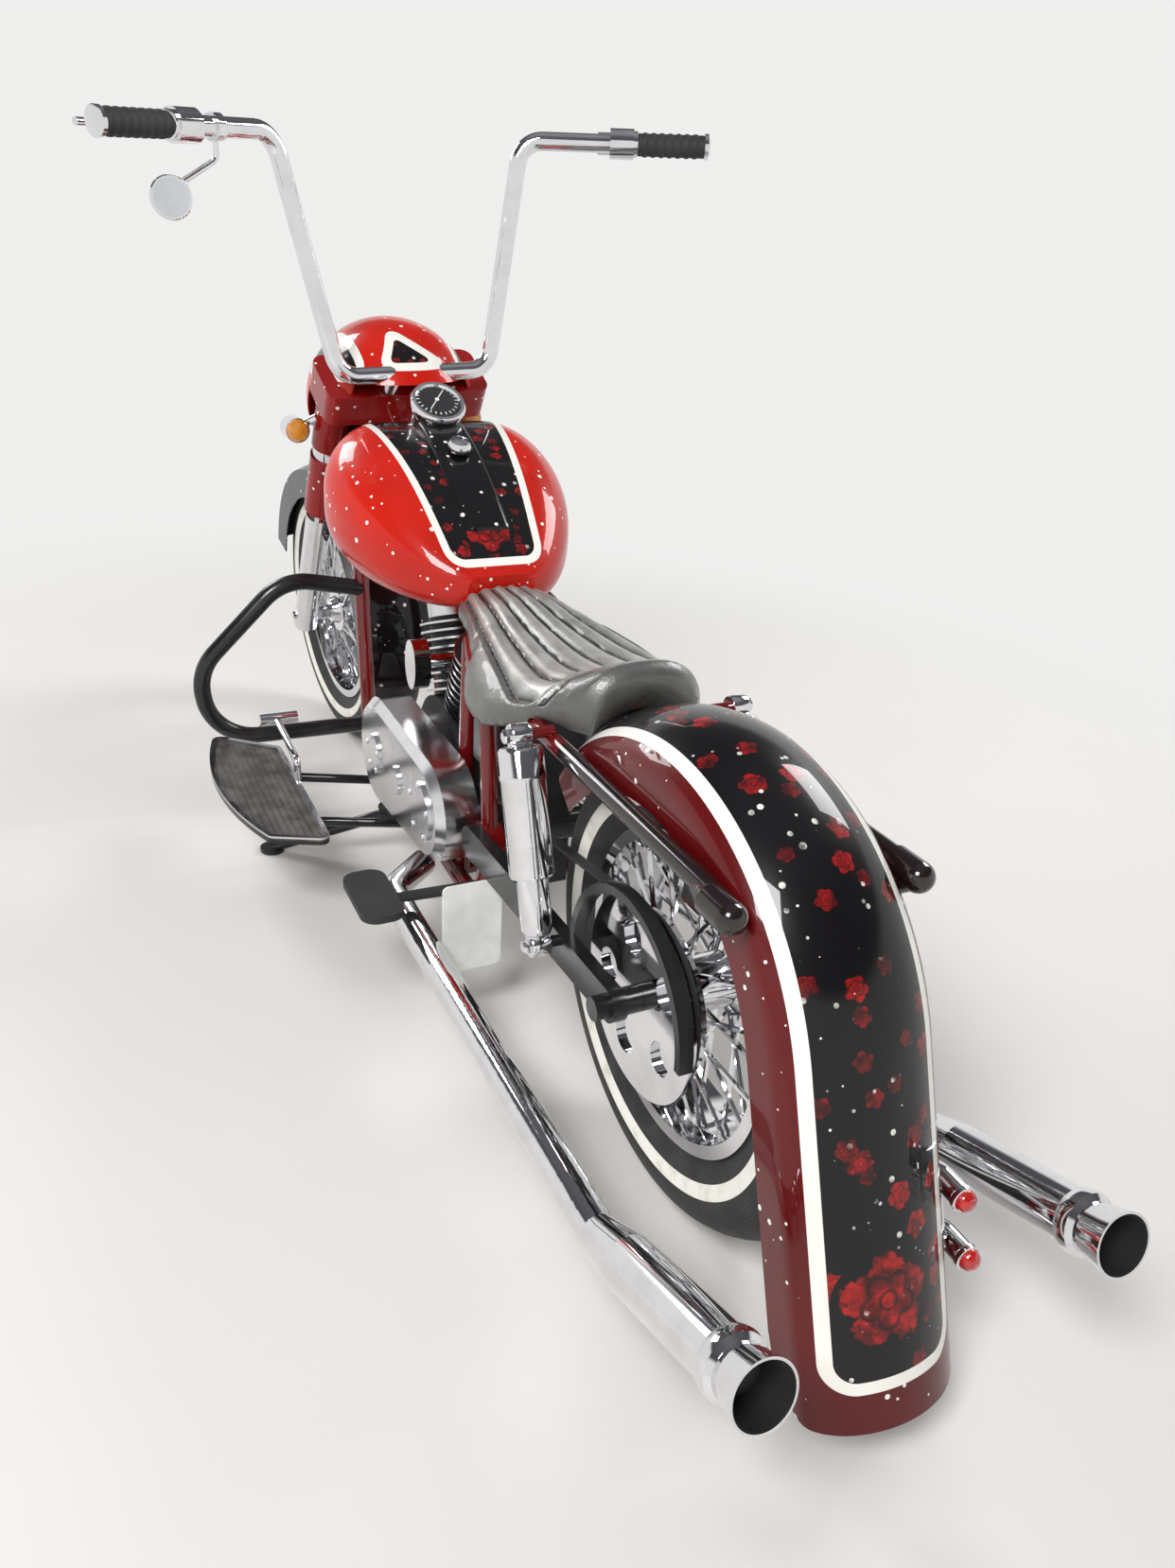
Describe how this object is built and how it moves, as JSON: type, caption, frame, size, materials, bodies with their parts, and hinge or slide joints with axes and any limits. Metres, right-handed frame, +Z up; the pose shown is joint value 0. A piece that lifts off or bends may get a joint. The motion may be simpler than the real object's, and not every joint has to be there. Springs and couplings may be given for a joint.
{
  "type": "motorcycle",
  "caption": "Low, long V-twin cruiser on its side stand, with a high handlebar, solo seat, deep full fenders, wire wheels and twin upswept exhausts.",
  "frame": {"origin": "middle of the bounding box's footprint, on the floor", "axes": "+X forward along the wheelbase, +Y to the rider's left, +Z up; the machine leans 3 degrees to the left"},
  "size_m": [2.534, 1.1156, 1.3905],
  "materials": {
    "chrome": "polished",
    "polished_alloy": "polished",
    "red_paint": "metal-flake gloss",
    "red_frame": "gloss",
    "black_paint": "gloss",
    "black_alloy": "satin",
    "black_rubber": "matte",
    "tyre_rubber": "matte with a white wall",
    "grey_vinyl": "pleated satin",
    "amber_lens": "amber",
    "plate_white": "blank"
  },
  "bodies": {
    "root": {"frame": "red_frame", "swingarm": "red_frame", "shock_left": "chrome", "shock_right": "chrome", "rear_fender": "red_paint", "crankcase": "black_alloy", "cylinders": "black_alloy", "gearbox": "black_alloy", "drive_belt": "black_rubber", "primary_cover": "polished_alloy", "air_cleaner": "chrome", "horn_cover": "chrome", "exhaust_left": "chrome", "exhaust_right": "chrome", "seat": "grey_vinyl", "fuel_tank": "red_paint", "dash": "black_paint", "speedometer": "chrome", "crash_bar": "black_paint", "floorboard_left": "black_paint", "floorboard_right": "black_paint", "shift_lever": "chrome", "passenger_pegs": "black_rubber", "number_plate": "plate_white", "tail_lamps": "chrome", "stand_bracket": "black_paint"},
    "rear_wheel": {"rear_rim": "chrome", "rear_tyre": "tyre_rubber", "rear_pulley": "chrome"},
    "steering": {"fork_tubes": "chrome", "fork_legs": "chrome", "fork_covers": "red_paint", "fork_shroud": "red_paint", "nacelle": "red_paint", "headlamp": "chrome", "front_fender": "black_paint", "handlebar": "chrome", "grips": "black_rubber", "controls": "chrome", "mirror_left": "chrome", "fork_lamps": "amber_lens"},
    "front_wheel": {"front_rim": "chrome", "front_tyre": "tyre_rubber"},
    "stand": {"side_stand": "black_paint"}
  },
  "joints": [
    {"name": "rear_wheel_spin", "type": "hinge", "parent": "root", "child": "rear_wheel", "pos_m": [-0.74724, -0.0586, 0.32466], "axis": [0, 0.9986, -0.0523], "continuous": true},
    {"name": "steering_turn", "type": "hinge", "parent": "root", "child": "steering", "pos_m": [0.57912, -0.03426, 0.78902], "axis": [-0.5299, 0.0444, 0.8469], "range_deg": [-32, 23]},
    {"name": "front_wheel_spin", "type": "hinge", "parent": "steering", "child": "front_wheel", "pos_m": [0.93263, -0.0545, 0.32436], "axis": [-0.0651, 0.9936, -0.0928], "continuous": true},
    {"name": "stand_fold", "type": "hinge", "parent": "root", "child": "stand", "pos_m": [0.23776, 0.0523, 0.10956], "axis": [0.0568, 0.4288, 0.9016], "range_deg": [0, 88]}
  ]
}
